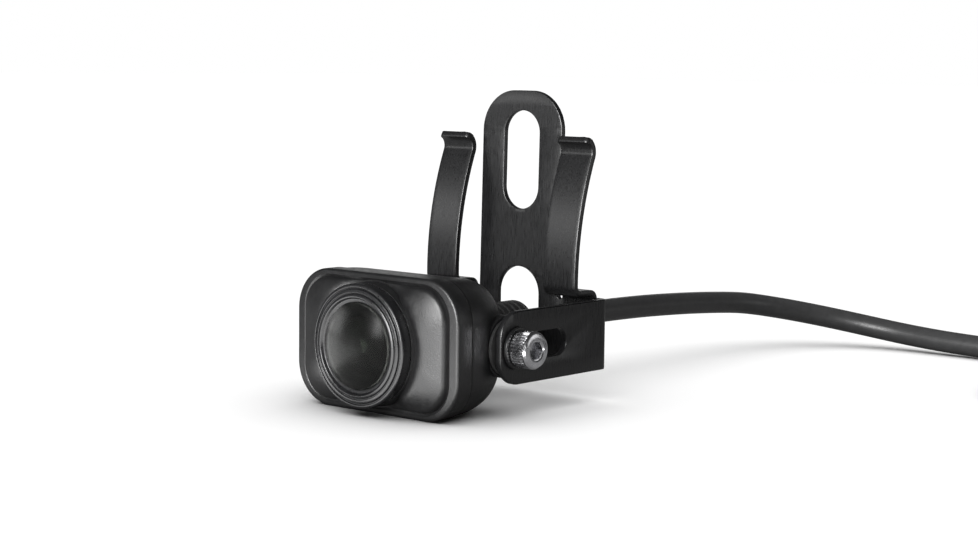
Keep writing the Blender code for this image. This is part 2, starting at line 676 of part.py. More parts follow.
def plug(parent):
    """Round screw-on plug lying on the floor, its mating end towards -Y."""
    turn = Matrix.Rotation(pi, 3, "Z")
    pieces = {
        "plug_body": (turned([
            (0, 0), (3.5, 0), (4.6, 8), (5.0, 12.0), (5.6, 13.0), (5.6, 22.0), (6.2, 22.0), (6.2, 23.4),
            (5.2, 23.4), (5.2, 31.0), (4.2, 31.0), (4.2, 24.0), (0, 24.0)], 24), "black_plastic"),
        "plug_seal": (ring(6.3, 5.5, 23.7, 24.8, 24), "rubber"),
        "coupling_ring": (turned([
            (7.5, 19.9), (7.5, 32.6), (7.1, 33.0), (6.7, 33.0), (6.7, 21.7), (5.9, 21.7), (5.9, 19.5),
            (7.1, 19.5)], 28), "black_plastic"),
        "contact_insert": (tube(3.9, 24.3, 26.3, 28), "white_plastic"),
    }
    made = {}
    for name, (bm, look) in pieces.items():
        bmesh.ops.rotate(bm, cent=(0, 0, 0), matrix=turn, verts=bm.verts)
        made[name] = add_mesh(name, bm, look, parent, PLUG_ENTRY)
    for number, angle in enumerate((45, 135, 225, 315), 1):
        x = PLUG_ENTRY[0] + 2.0 * cos(radians(angle))
        z = PLUG_ENTRY[2] + 2.0 * sin(radians(angle))
        pin = make_cutter(f"pin_{number}", tube(0.5, -30.0, -25.0, 8), parent, (x, PLUG_ENTRY[1], z))
        combine(made["contact_insert"], pin, "UNION")


def main():
    clear_scene()
    frame = bpy.data.objects.new("camera_frame", None)
    bpy.context.scene.collection.objects.link(frame)
    frame.location = (0, -ORIGIN_Y * MM, 0)
    front_shell(frame)
    rear_shell(frame)
    housing_gasket(frame)
    housing_screws(frame)
    lens_ring(frame)
    optics(frame)
    lens_holder(frame)
    electronics(frame)
    pivot_hardware(frame)
    mounting_bracket(frame)
    strain_relief(frame)
    cord("cable", smooth_route(CABLE_ROUTE, 2), CABLE_RADIUS, "cable_rubber", frame)
    coil_and_tie(frame)
    cord("cable_tail", smooth_route(TAIL_ROUTE, 2), CABLE_RADIUS, "cable_rubber", frame)
    plug(frame)


main()
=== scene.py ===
"""Looks of the backup camera: refined shells, lens, bracket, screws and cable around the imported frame.

Shapes are drawn in millimetres, with Y measured from the plane of the housing's front rim and Z from the
surface that the camera stands on. in_frame() carries them to the frame's metres.
"""

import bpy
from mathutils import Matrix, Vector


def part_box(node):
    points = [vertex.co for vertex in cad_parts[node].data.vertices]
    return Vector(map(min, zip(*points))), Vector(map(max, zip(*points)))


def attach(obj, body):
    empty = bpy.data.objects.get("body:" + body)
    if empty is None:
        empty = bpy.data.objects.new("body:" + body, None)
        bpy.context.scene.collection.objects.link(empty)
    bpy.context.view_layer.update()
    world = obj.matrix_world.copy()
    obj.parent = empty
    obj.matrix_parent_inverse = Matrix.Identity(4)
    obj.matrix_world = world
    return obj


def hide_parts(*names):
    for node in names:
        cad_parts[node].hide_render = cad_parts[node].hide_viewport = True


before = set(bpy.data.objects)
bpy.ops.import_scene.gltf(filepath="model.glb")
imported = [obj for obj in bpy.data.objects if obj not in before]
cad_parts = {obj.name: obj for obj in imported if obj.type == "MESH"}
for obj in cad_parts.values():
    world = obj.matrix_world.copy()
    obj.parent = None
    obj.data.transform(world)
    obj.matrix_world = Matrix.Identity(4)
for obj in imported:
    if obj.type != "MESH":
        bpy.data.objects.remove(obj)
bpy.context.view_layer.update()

from math import atan2, cos, hypot, pi, radians, sin, sqrt, tan

import bmesh
import bpy
from mathutils import Matrix, Vector
from mathutils.geometry import interpolate_bezier

MM = 0.001
SHELL_LOW, SHELL_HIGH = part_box("front_shell")
SEAM_Y = 4.85                                  # from the rim's plane to the joint between the shells
RIM_Y = SHELL_HIGH[1] - SEAM_Y * MM
AXIS_Z = (SHELL_LOW[2] + SHELL_HIGH[2]) / 2 / MM
HALF_WIDTH = (SHELL_HIGH[0] - SHELL_LOW[0]) / 2 / MM
HALF_HEIGHT = AXIS_Z                           # the housing stands on the surface
CORNER = 10.1
RING_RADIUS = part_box("lens_ring")[1][0] / MM
PEDESTAL_Y = -2.9                              # of the flat round pedestal under the lens ring
REAR_Y = 27.2
PIVOT_Y = 18.0
EAR_OUTER_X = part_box("mounting_bracket")[1][0] / MM
PLATE_REAR_Y = 52.4
SHEET = 1.5                                    # thickness of the bracket's steel


def in_frame(point):
    return Vector((point[0] * MM, point[1] * MM + RIM_Y, point[2] * MM))


# --- materials -------------------------------------------------------------------------------------

class Look:
    """A Principled material and short ways to add the nodes that vary it."""

    def __init__(self, name, colour, roughness, metallic=0.0, **sockets):
        self.material = bpy.data.materials.new(name)
        self.material.use_nodes = True
        self.tree = self.material.node_tree
        self.shader = self.tree.nodes["Principled BSDF"]
        self.set("Base Color", (*colour, 1.0))
        self.set("Roughness", roughness)
        self.set("Metallic", metallic)
        for socket, value in sockets.items():
            self.set(socket.replace("_", " "), value)
        self.position = self.node("ShaderNodeNewGeometry").outputs["Position"]

    def set(self, socket, value):
        self.shader.inputs[socket].default_value = value

    def node(self, kind, **inputs):
        made = self.tree.nodes.new(kind)
        for name, value in inputs.items():
            made.inputs[name.replace("_", " ")].default_value = value
        return made

    def link(self, output, target):
        self.tree.links.new(output, target)

    def stretched(self, scale):
        """The position, scaled differently along each axis."""
        scaled = self.node("ShaderNodeVectorMath")
        scaled.operation = "MULTIPLY"
        self.link(self.position, scaled.inputs[0])
        scaled.inputs[1].default_value = scale
        return scaled.outputs[0]

    def noise(self, scale, detail=3.0, vector=None):
        made = self.node("ShaderNodeTexNoise", Scale=scale, Detail=detail)
        self.link(vector or self.position, made.inputs["Vector"])
        return made.outputs["Fac"]

    def ranged(self, value, low, high, from_low=0.3, from_high=0.7):
        made = self.node("ShaderNodeMapRange")
        made.inputs["From Min"].default_value = from_low
        made.inputs["From Max"].default_value = from_high
        made.inputs["To Min"].default_value = low
        made.inputs["To Max"].default_value = high
        self.link(value, made.inputs["Value"])
        return made.outputs["Result"]

    def tint(self, value, low, high):
        """Base colour between two colours, by a value from 0.3 to 0.7."""
        ramp = self.node("ShaderNodeValToRGB")
        ramp.color_ramp.elements[0].position = 0.3
        ramp.color_ramp.elements[1].position = 0.7
        ramp.color_ramp.elements[0].color = (*low, 1.0)
        ramp.color_ramp.elements[1].color = (*high, 1.0)
        self.link(value, ramp.inputs["Fac"])
        self.link(ramp.outputs["Color"], self.shader.inputs["Base Color"])

    def uneven_gloss(self, value, low, high):
        """Roughness between two values, by a value from 0.3 to 0.7."""
        self.link(self.ranged(value, low, high), self.shader.inputs["Roughness"])

    def bump(self, height, distance):
        made = self.node("ShaderNodeBump", Distance=distance, Strength=1.0)
        self.link(height, made.inputs["Height"])
        self.link(made.outputs["Normal"], self.shader.inputs["Normal"])


def grained_plastic(name, colour, lighter, roughness, grain=2600, depth=0.00002):
    """Moulded plastic: a fine spark-eroded grain and slightly uneven gloss."""
    look = Look(name, colour, roughness)
    fine = look.noise(grain, 2.0)
    look.tint(look.noise(300, 4.0), colour, lighter)
    look.uneven_gloss(look.noise(900, 3.0), roughness - 0.05, roughness + 0.05)
    look.bump(fine, depth)
    return look


def brushed_steel_black():
    """Black coated sheet, brushed along the length of the tab and the arms."""
    look = Look("black_sheet_steel", (0.004, 0.004, 0.0043), 0.32)
    streaks = look.noise(1.0, 2.0, look.stretched((6500, 6500, 320)))
    look.tint(streaks, (0.003, 0.003, 0.0032), (0.008, 0.008, 0.0085))
    look.uneven_gloss(streaks, 0.25, 0.38)
    look.bump(streaks, 0.000005)
    return look


def bright_steel(name, roughness, grain=3000):
    """Bare polished steel, finely marked all over."""
    look = Look(name, (0.66, 0.66, 0.68), roughness, 1.0)
    marks = look.noise(grain, 4.0)
    look.tint(look.noise(700, 3.0), (0.58, 0.58, 0.60), (0.74, 0.74, 0.76))
    look.uneven_gloss(marks, roughness - 0.06, roughness + 0.08)
    look.bump(marks, 0.000006)
    return look


def rubber(name, colour, lighter, roughness):
    """Moulded rubber, patchy in colour and gloss."""
    look = Look(name, colour, roughness)
    look.tint(look.noise(500, 5.0), colour, lighter)
    look.uneven_gloss(look.noise(1500, 3.0), roughness - 0.06, roughness + 0.07)
    look.bump(look.noise(3500, 2.0), 0.000015)
    return look


def lens_glass(name, colour, roughness, gloss=0.5):
    """Glass with the faintest unevenness in its tint. A gloss of 0.5 is that of bare glass."""
    look = Look(name, colour, roughness, Transmission_Weight=1.0, IOR=1.5)
    look.set("Specular IOR Level", gloss)
    look.tint(look.noise(120, 2.0), colour, tuple(c * 0.92 for c in colour))
    look.uneven_gloss(look.noise(80, 2.0), roughness, roughness + 0.02)
    return look


def circuit_board():
    """Green solder mask over a grid of tracks."""
    look = Look("circuit_board", (0.01, 0.09, 0.04), 0.4)
    traces = look.node("ShaderNodeTexBrick", Scale=900.0)
    look.link(look.position, traces.inputs["Vector"])
    look.tint(traces.outputs["Fac"], (0.008, 0.07, 0.03), (0.02, 0.16, 0.07))
    look.bump(traces.outputs["Fac"], 0.00002)
    return look


def turned_metal(name, colour, lighter, roughness):
    """Machined metal with a fine uneven surface."""
    look = Look(name, colour, roughness, 1.0)
    look.tint(look.noise(900, 4.0), colour, lighter)
    look.uneven_gloss(look.noise(2500, 2.0), roughness - 0.06, roughness + 0.06)
    look.bump(look.noise(4000, 2.0), 0.000006)
    return look


SHELL_PLASTIC = grained_plastic("shell_plastic", (0.0045, 0.0045, 0.0047), (0.0065, 0.0065, 0.0068), 0.38,
                                3600, 0.00004)
RING_PLASTIC = grained_plastic("ring_plastic", (0.004, 0.004, 0.0044), (0.006, 0.006, 0.0065), 0.3,
                               2600, 0.000001)
INNER_PLASTIC = grained_plastic("inner_plastic", (0.003, 0.003, 0.003), (0.005, 0.005, 0.005), 0.5, 1500)
PLUG_PLASTIC = grained_plastic("plug_plastic", (0.014, 0.014, 0.015), (0.022, 0.022, 0.023), 0.42, 1800)
WHITE_PLASTIC = grained_plastic("white_plastic", (0.62, 0.61, 0.57), (0.72, 0.71, 0.67), 0.45, 1500)
SHEET_STEEL = brushed_steel_black()
SCREW_STEEL = bright_steel("screw_steel", 0.2)
CAN_STEEL = bright_steel("can_steel", 0.35, 1200)
SOFT_RUBBER = rubber("soft_rubber", (0.009, 0.009, 0.009), (0.014, 0.014, 0.014), 0.5)
CABLE_RUBBER = rubber("cable_jacket", (0.024, 0.024, 0.0245), (0.031, 0.031, 0.0315), 0.38)
BRASS = turned_metal("brass", (0.56, 0.38, 0.13), (0.68, 0.50, 0.22), 0.3)
CLEAR_GLASS = lens_glass("clear_glass", (0.40, 0.41, 0.39), 0.24)
COATED_GLASS = lens_glass("coated_glass", (0.30, 0.36, 0.30), 0.0, gloss=0.8)
FILTER_GLASS = lens_glass("filter_glass", (0.35, 0.55, 0.60), 0.0)
CHIP = grained_plastic("sensor_chip", (0.03, 0.025, 0.05), (0.05, 0.04, 0.09), 0.15, 900, 0.000002)
BOARD = circuit_board()


# --- mesh helpers ----------------------------------------------------------------------------------

SHARP_ANGLE = radians(38)


def placed(name, data):
    """A new object in the scene for a mesh, a curve, a light or a camera."""
    item = bpy.data.objects.new(name, data)
    bpy.context.scene.collection.objects.link(item)
    return item


def mesh_of(name, bm):
    mesh = bpy.data.meshes.new(name)
    bm.to_mesh(mesh)
    bm.free()
    return mesh


def outward_in_frame(bm):
    """Turn the faces outwards and carry the millimetre geometry into the frame."""
    bmesh.ops.recalc_face_normals(bm, faces=bm.faces)
    for vert in bm.verts:
        vert.co = in_frame(vert.co)


def show(name, bm, look, body, slot, *replaced):
    """Make a piece of millimetre geometry that rides on its body and stands for the CAD nodes."""
    bmesh.ops.remove_doubles(bm, verts=bm.verts, dist=1e-5)
    outward_in_frame(bm)
    mesh = mesh_of(name, bm)
    mesh.shade_smooth()
    mesh.set_sharp_from_angle(angle=SHARP_ANGLE)
    item = placed(name, mesh)
    mesh.materials.append(look.material)
    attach(item, body)
    if replaced:
        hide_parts(*replaced)
    return item


def skin(bm, rows):
    """Faces between neighbouring rows of vertices. A row of one vertex closes an end."""
    count = max(len(row) for row in rows)
    for low, high in zip(rows, rows[1:]):
        for i in range(count):
            j = (i + 1) % count
            corners = [low[i % len(low)], low[j % len(low)], high[j % len(high)], high[i % len(high)]]
            bm.faces.new(list(dict.fromkeys(corners)))


def loft(rings):
    """A surface through rings of equal point count that is closed on itself."""
    bm = bmesh.new()
    rows = [[bm.verts.new(point) for point in ring] for ring in rings]
    skin(bm, rows + rows[:1])
    return bm


def ring_row(bm, y, radii):
    """Vertices round the Y axis at these radii, or the one vertex on the axis if all are zero."""
    if not any(radii):
        return [bm.verts.new((0, y, 0))]
    turns = [2 * pi * i / len(radii) for i in range(len(radii))]
    return [bm.verts.new((r * cos(a), y, r * sin(a))) for r, a in zip(radii, turns)]


def turned(profile, segments=128, wave=None):
    """A body of revolution about Y from a closed profile of (radius, y).

    A point may have a third value: the share of wave(i) that is added to its radius."""
    bm = bmesh.new()
    rows = []
    for radius, y, *share in profile:
        rows.append(ring_row(bm, y, [radius + (wave(i) * share[0] if share else 0) for i in range(segments)]))
    if len(rows[0]) > 1:
        rows.append(rows[0])
    skin(bm, rows)
    return bm


def eased(profile, radius=0.12, steps=3):
    """The profile with its corners rounded. Points on the axis and very short edges stay sharp."""
    rounded = []
    count = len(profile)
    for i, point in enumerate(profile):
        before, after = Vector(profile[i - 1][:2]), Vector(profile[(i + 1) % count][:2])
        here = Vector(point[:2])
        back, ahead = before - here, after - here
        cut = min(radius, back.length * 0.4, ahead.length * 0.4)
        if point[0] == 0 or cut < 0.02:
            rounded.append(tuple(point))
            continue
        start, end = here + back.normalized() * cut, here + ahead.normalized() * cut
        for k in range(steps + 1):
            t = k / steps
            spot = start * (1 - t) ** 2 + here * (2 * t * (1 - t)) + end * t ** 2
            rounded.append((*spot, *point[2:]))
    return rounded


def moved(bm, matrix):
    bmesh.ops.transform(bm, matrix=matrix, verts=bm.verts)
    return bm


def lifted(bm, place):
    return moved(bm, Matrix.Translation(place))


def on_pivot(bm, side):
    """Lay a turned body along the pivot's axis, pointing out of the left (-1) or right (1) side."""
    return lifted(moved(bm, Matrix.Rotation(-side * pi / 2, 4, "Z")), (0, PIVOT_Y, AXIS_Z))


# --- housing ---------------------------------------------------------------------------------------

BORDER = 1.9                                   # from the rim to the crowned face, at the top
SIDE_BORDER = 1.3                              # how much wider the border is at the sides
RIM_ROUND = 0.8
LENS_BORE = 12.8
CABLE_BORE = 4.4


def outline(half_width, half_height, corner, corner_steps=22, side_steps=16):
    """Points round a rounded rectangle in X and Z, the same number at the same places every time."""
    arcs = []
    for sign_x, sign_z, start in ((1, 1, 0), (-1, 1, 90), (-1, -1, 180), (1, -1, 270)):
        cx = sign_x * (half_width - corner)
        cz = sign_z * (half_height - corner)
        angles = [radians(start + 90 * i / corner_steps) for i in range(corner_steps + 1)]
        arcs.append([(cx + corner * cos(a), cz + corner * sin(a)) for a in angles])
    points = []
    for arc, following in zip(arcs, arcs[1:] + arcs[:1]):
        points.extend(arc)
        (x0, z0), (x1, z1) = arc[-1], following[0]
        for i in range(1, side_steps):
            t = i / side_steps
            points.append((x0 + (x1 - x0) * t, z0 + (z1 - z0) * t))
    return points


def inset_outline(inset):
    """The rim moved inwards by inset mm."""
    return outline(HALF_WIDTH - inset, HALF_HEIGHT - inset, max(CORNER - inset, 2.0))


def border_outline(inset):
    """The rim moved inwards by inset mm, and further at the sides."""
    return outline(HALF_WIDTH - inset - SIDE_BORDER, HALF_HEIGHT - inset, CORNER - inset - 0.5 * SIDE_BORDER)


def at(points, y):
    """These points of an outline, placed round the lens axis at a depth y."""
    return [(x, y, z + AXIS_Z) for x, z in points]


RIM = inset_outline(0)


def circle(radius):
    """A circle with its points in the same directions from the lens axis as the rim's."""
    return [(radius * cos(atan2(z, x)), radius * sin(atan2(z, x))) for x, z in RIM]


def crown_height(run, room):
    """Height of the front face run mm in from the border strip, where room mm are left to the ring.

    It steps up out of the groove, climbs ever less steeply, and sinks again beside the ring."""
    step = 0.9 * sqrt(1 - (1 - min(run / 1.0, 1.0)) ** 2)
    climb = step + 0.42 * (run - run * run / 24)
    moat = 1.0 * max(1 - room / 3.0, 0) ** 2
    return (climb - moat * min(climb, 1.0)) * min(1.0, (run + room) / 5.0)


def front_face_rings():
    """Rings of the crowned face, from the border strip in to the foot of the lens ring."""
    foot_radius = RING_RADIUS + 0.15
    foot = circle(foot_radius)
    start = []
    for x, z in border_outline(BORDER):
        scale = max((foot_radius + 0.3) / hypot(x, z), 1.0)
        start.append((x * scale, z * scale))
    rings = []
    steps = 22
    for k in range(steps + 1):
        t = (k / steps) ** 1.5
        ring = []
        for (bx, bz), (fx, fz) in zip(start, foot):
            x = bx + (fx - bx) * t
            z = bz + (fz - bz) * t
            run = hypot(bx - x, bz - z)
            room = hypot(fx - x, fz - z)
            ring.append((x, -crown_height(run, room), z + AXIS_Z))
        rings.append(ring)
    return rings


def front_shell():
    rings = [at(inset_outline(1.1), SEAM_Y), at(inset_outline(0.22), SEAM_Y),
             at(inset_outline(0.06), SEAM_Y - 0.07), at(inset_outline(0), SEAM_Y - 0.22)]
    for step in range(9):
        angle = pi / 2 * step / 8
        rings.append(at(inset_outline(RIM_ROUND * (1 - cos(angle))), RIM_ROUND * (1 - sin(angle))))
    rings.append(at(inset_outline(RIM_ROUND + 0.2), 0.0))
    rings.append(at(border_outline(BORDER - 0.7), -0.03))
    rings.append(at(border_outline(BORDER - 0.4), 0.2))
    rings.append(at(border_outline(BORDER - 0.1), 0.3))
    rings.extend(front_face_rings())
    rings.append(at(circle(RING_RADIUS - 0.05), PEDESTAL_Y + 0.05))
    rings.append(at(circle(RING_RADIUS - 0.2), PEDESTAL_Y))
    rings.append(at(circle(LENS_BORE), PEDESTAL_Y))
    rings.append(at(circle(LENS_BORE), PEDESTAL_Y + 2.0))
    rings.append(at(inset_outline(3.1), 1.1))
    rings.append(at(inset_outline(2.8), 1.9))
    rings.append(at(inset_outline(1.1), 1.9))
    show("front_cover", loft(rings), SHELL_PLASTIC, "camera", "black_plastic", "front_shell")


def rear_section(angle, wall):
    """Section of the rear shell, wall mm inside its skin: 0 at the seam, a right angle at the rear."""
    turn = 1 - cos(angle)
    half_width = HALF_WIDTH - 0.3 - wall - 18.9 * turn
    half_height = HALF_HEIGHT - 0.3 - wall - 9.0 * turn
    corner = min(CORNER - 0.75 * wall - 4.6 * turn, half_width - 0.05, half_height - 0.05)
    y = 6.0 + (21.2 - wall) * sin(angle)
    return at(outline(half_width, half_height, corner), y)


def rear_shell():
    front_y = SEAM_Y + 0.3
    rings = [at(inset_outline(1.4), front_y), at(inset_outline(0.5), front_y),
             at(inset_outline(0.34), front_y + 0.06), at(inset_outline(0.3), front_y + 0.2)]
    steps = 26
    rings.extend(rear_section(pi / 2 * i / steps, 0.0) for i in range(steps + 1))
    rings.append(at(circle(6.6), REAR_Y))
    rings.append(at(circle(CABLE_BORE), REAR_Y))
    rings.append(at(circle(CABLE_BORE), REAR_Y - 2.0))
    rings.extend(rear_section(pi / 2 * i / 8, 2.0) for i in range(8, -1, -1))
    rings.append(at(inset_outline(2.4), 3.6))
    rings.append(at(inset_outline(1.4), 3.6))
    show("rear_cover", loft(rings), SHELL_PLASTIC, "camera", "black_plastic", "rear_shell")
    hub_profile = eased([(3.9, 15.2), (7.25, 15.2), (7.25, 24.7), (3.9, 24.7)], 0.5, 5)
    for name, side in (("left", -1), ("right", 1)):
        show(f"pivot_hub_{name}", on_pivot(turned(hub_profile, 96), side), SHELL_PLASTIC, "camera",
             "black_plastic")


# --- lens ------------------------------------------------------------------------------------------

def dome(radius, edge_y, apex_y, steps):
    """Profile of a spherical cap, from its edge to its apex on the axis."""
    height = edge_y - apex_y
    sphere = (radius ** 2 + height ** 2) / (2 * height)
    widest = atan2(radius, sphere - height)
    angles = [widest * (1 - i / steps) for i in range(steps)]
    centre_y = apex_y + sphere
    return [(sphere * sin(a), centre_y - sphere * cos(a)) for a in angles] + [(0, apex_y)]


def lens():
    """Stepped lens ring, domed cover glass, and the barrel with the front element behind it."""
    place = (0, 0, AXIS_Z)
    ring = eased([
        (RING_RADIUS, -3.2), (RING_RADIUS, -5.7), (14.05, -6.0), (13.6, -6.0), (13.5, -5.65), (13.25, -5.65),
        (13.1, -6.2), (12.4, -6.3), (12.3, -6.02), (12.1, -6.02), (12.0, -6.4), (11.5, -6.6), (11.3, -6.5),
        (10.9, -5.85), (10.2, -5.78), (10.2, -5.65), (11.2, -5.65), (11.2, -3.9), (9.6, -3.9), (9.6, 1.0),
        (12.7, 1.0), (12.7, -3.2)], 0.14, 3)
    show("lens_bezel", lifted(turned(ring, 192), place), RING_PLASTIC, "camera", "gloss_plastic", "lens_ring")
    outer = dome(9.95, -6.35, -8.5, 20)
    inner = dome(9.4, -5.2, -7.1, 20)
    glass = outer[::-1] + [(9.95, -5.45), (10.9, -5.45), (10.9, -5.2)] + inner
    cover = show("cover_glass", lifted(turned(glass, 128), place), CLEAR_GLASS, "camera", "glass",
                 "front_glass")
    baffle = eased([
        (7.2, -3.6), (7.2, 10.8), (5.6, 10.8), (5.6, 3.1), (5.0, 3.1), (5.0, 1.4), (5.6, 1.4), (5.6, -1.9),
        (6.5, -1.9), (6.5, -3.6)], 0.15, 2)
    show("lens_tube", lifted(turned(baffle, 96), place), INNER_PLASTIC, "camera", "black_plastic",
         "lens_barrel")
    front = dome(1.7, -4.3, -5.3, 8)[::-1] + [(1.9, -4.2), (4.4, -3.7), (6.2, -3.3), (6.2, -2.2), (0, -2.2)]
    show("front_element", lifted(turned(front, 96), place), COATED_GLASS, "camera", "glass",
         "front_lens_element")
    return cover


# --- pivot screws ----------------------------------------------------------------------------------

HEAD_X = EAR_OUTER_X + 1.35                    # where the head begins, outside the washer
HEAD_END_X = HEAD_X + 4.7
HEAD_RADIUS = 4.36
SHANK_RADIUS = 2.35
KNURLS = 36
POINTS_PER_KNURL = 6
KNURL_DEPTH = 0.26
SOCKET_HALF_WIDTH = 2.0


def knurl(i):
    """Change of radius at point i round the knurled head."""
    return -KNURL_DEPTH * (1 - abs(((i / POINTS_PER_KNURL) % 1.0) * 2 - 1)) ** 0.8


def pivot_screws():
    """M5 socket screws with a knurled head and a hexagon socket, and the washer under each."""
    end = HEAD_END_X
    profile = [
        (0, 17.4), (1.95, 17.4), (SHANK_RADIUS, 17.9), (SHANK_RADIUS, HEAD_X), (4.1, HEAD_X),
        (HEAD_RADIUS, HEAD_X + 0.3, 1.0), (HEAD_RADIUS, end - 1.05, 1.0), (4.3, end - 0.98, 0.2),
        (4.3, end - 0.62), (3.95, end - 0.14), (3.6, end), (2.6, end), (2.36, end - 0.25), (2.0, end - 0.3),
        (0, end - 0.3)]
    washer = eased([(4.9, EAR_OUTER_X + 0.3), (4.9, EAR_OUTER_X + 1.1), (2.75, EAR_OUTER_X + 1.1),
                    (2.75, EAR_OUTER_X + 0.3)], 0.15, 3)
    screws = []
    for name, side in (("left", -1), ("right", 1)):
        bm = turned(profile, KNURLS * POINTS_PER_KNURL, knurl)
        screw = show(f"pivot_screw_head_{name}", on_pivot(bm, side), SCREW_STEEL, f"screw_{name}",
                     "bright_steel", f"pivot_screw_{name}")
        drill_socket(screw, name, side)
        show(f"washer_ring_{name}", on_pivot(turned(washer, 96), side), SHEET_STEEL, f"screw_{name}",
             "black_steel", f"flat_washer_{name}")
        screws.append(screw)
    return screws


def drill_socket(screw, name, side):
    """Cut the hexagon socket, with a point at its bottom, and leave the result in the mesh."""
    end = HEAD_END_X
    corner = SOCKET_HALF_WIDTH / cos(pi / 6)
    socket = turned([(0, end - 3.3), (1.6, end - 2.7), (1.6, end - 2.6), (corner, end - 2.6),
                     (corner, end + 1), (0, end + 1)], 6)
    bm = on_pivot(socket, side)
    outward_in_frame(bm)
    cutter = placed(f"socket_{name}", mesh_of(f"socket_{name}", bm))
    step = screw.modifiers.new("socket", "BOOLEAN")
    step.object = cutter
    step.operation = "DIFFERENCE"
    step.solver = "EXACT"
    bake_modifiers(screw)
    screw.data.set_sharp_from_angle(angle=radians(30))
    bpy.data.objects.remove(cutter, do_unlink=True)


def bake_modifiers(item):
    """Put the result of the object's modifiers into its mesh."""
    graph = bpy.context.evaluated_depsgraph_get()
    mesh = bpy.data.meshes.new_from_object(item.evaluated_get(graph), depsgraph=graph)
    item.modifiers.clear()
    item.data = mesh


# --- bracket ---------------------------------------------------------------------------------------

BEND_RADIUS = 1.5                              # of the sheet's middle, at the ears
TAB_LEAN = radians(1.17)
TAB_TOP_Z = 74.3
TAB_HALF_WIDTH = 12.7
TAB_CORNER = 10
EAR_TOP_Z = 24.8
EAR_BOTTOM_Z = 7.8
EAR_FRONT_Y = 12.5
EAR_CORNER = 6.2
EAR_SLOT_RADIUS = 3.2
EAR_SLOT_TRAVEL = 15.0
ARM_X = (14.2, 24.0)                           # the right arm's inner and outer edge
ARM_CORNER = 1.2
ARM_RELIEF = 0.45                              # radius of the notch at the foot of an arm
ARM_START = EAR_TOP_Z - ARM_RELIEF
EDGE_ROUND = 0.22                              # of the sheet's cut edges
EDGE_MIDDLE = 0.065                            # from either face to the middle of that rounding
MIDDLE_Y = PLATE_REAR_Y - SHEET / 2


def arm_path():
    """Middle line of a spring arm as (length, y, z, heading) from the back plate's top edge."""
    segments = [(1.7, pi / 2, 14), (None, 3.9, 3), (1.9, -pi / 2, 14), (None, 0.5, 1),
                (81.0, -radians(22), 26), (3.1, radians(85), 18), (None, 0.8, 2)]
    y, z, heading, length = MIDDLE_Y, ARM_START, pi / 2, 0.0
    stations = [(length, y, z, heading)]
    for radius, amount, steps in segments:
        for _ in range(steps):
            if radius is None:
                step = amount / steps
                y += step * cos(heading)
                z += step * sin(heading)
            else:
                turn = amount / steps
                step = radius * abs(turn)
                chord = 2 * radius * sin(abs(turn) / 2)
                y += chord * cos(heading + turn / 2)
                z += chord * sin(heading + turn / 2)
                heading += turn
            length += step
            stations.append((length, y, z, heading))
    return stations


ARM = arm_path()
BEND_START = EAR_OUTER_X - SHEET / 2 - BEND_RADIUS
BEND_END = BEND_START + BEND_RADIUS * pi / 2
EAR_END = BEND_END + MIDDLE_Y - BEND_RADIUS - EAR_FRONT_Y


def fold(u, v, offset):
    """Place a point of the flat sheet, offset mm in front of its middle, in the bent bracket."""
    if ARM_X[0] - 0.01 < abs(u) < ARM_X[1] + 0.01 and v > ARM_START:
        travelled = v - ARM_START
        for (s0, y0, z0, h0), (s1, y1, z1, h1) in zip(ARM, ARM[1:]):
            if travelled <= s1 + 1e-6:
                break
        t = min((travelled - s0) / (s1 - s0), 1.0)
        y, z, heading = y0 + (y1 - y0) * t, z0 + (z1 - z0) * t, h0 + (h1 - h0) * t
        return (u, y + offset * cos(heading + pi / 2), z + offset * sin(heading + pi / 2))
    side = 1 if u > 0 else -1
    reach = abs(u)
    if reach <= BEND_START:
        return (u, MIDDLE_Y - offset + max(v - EAR_TOP_Z, 0) * tan(TAB_LEAN), v)
    angle = min((reach - BEND_START) / BEND_RADIUS, pi / 2)
    radius = BEND_RADIUS - offset
    x = BEND_START + radius * sin(angle)
    y = MIDDLE_Y - BEND_RADIUS + radius * cos(angle)
    if reach > BEND_END:
        y -= reach - BEND_END
    return (side * x, y, v)


def arc_points(cu, cv, radius, start, end, steps):
    """Points along an arc, from one angle in degrees to another."""
    angles = [radians(start + (end - start) * i / steps) for i in range(steps + 1)]
    return [(cu + radius * cos(a), cv + radius * sin(a)) for a in angles]


def upright_slot(half_width, low, high):
    """A slot in the middle of the sheet, with round ends at these heights."""
    upper = arc_points(0, high - half_width, half_width, 0, 180, 32)
    return upper + arc_points(0, low + half_width, half_width, 180, 360, 32)


def sheet_outline():
    """Right half of the flat sheet's edge, from the bottom middle to the top of the tab."""
    ear_u = EAR_END - EAR_CORNER
    tip = ARM_START + ARM[-1][0] - ARM_CORNER
    inner, outer = ARM_X
    slit = (inner - TAB_HALF_WIDTH) / 2
    half = [(0, EAR_BOTTOM_Z)]
    half += arc_points(ear_u, EAR_BOTTOM_Z + EAR_CORNER, EAR_CORNER, -90, 0, 24)
    half += arc_points(ear_u, EAR_TOP_Z - EAR_CORNER, EAR_CORNER, 0, 90, 24)
    half += arc_points(outer + ARM_RELIEF, ARM_START, ARM_RELIEF, 90, 180, 5)
    half += [(outer, tip)]
    half += arc_points(outer - ARM_CORNER, tip, ARM_CORNER, 15, 90, 5)
    half += arc_points(inner + ARM_CORNER, tip, ARM_CORNER, 90, 165, 5)
    half += [(inner, tip), (inner, ARM_START)]
    half += arc_points(inner - slit, ARM_START, slit, -30, -180, 8)
    half += arc_points(TAB_HALF_WIDTH - TAB_CORNER, TAB_TOP_Z - TAB_CORNER, TAB_CORNER, 0, 90, 32)
    return half


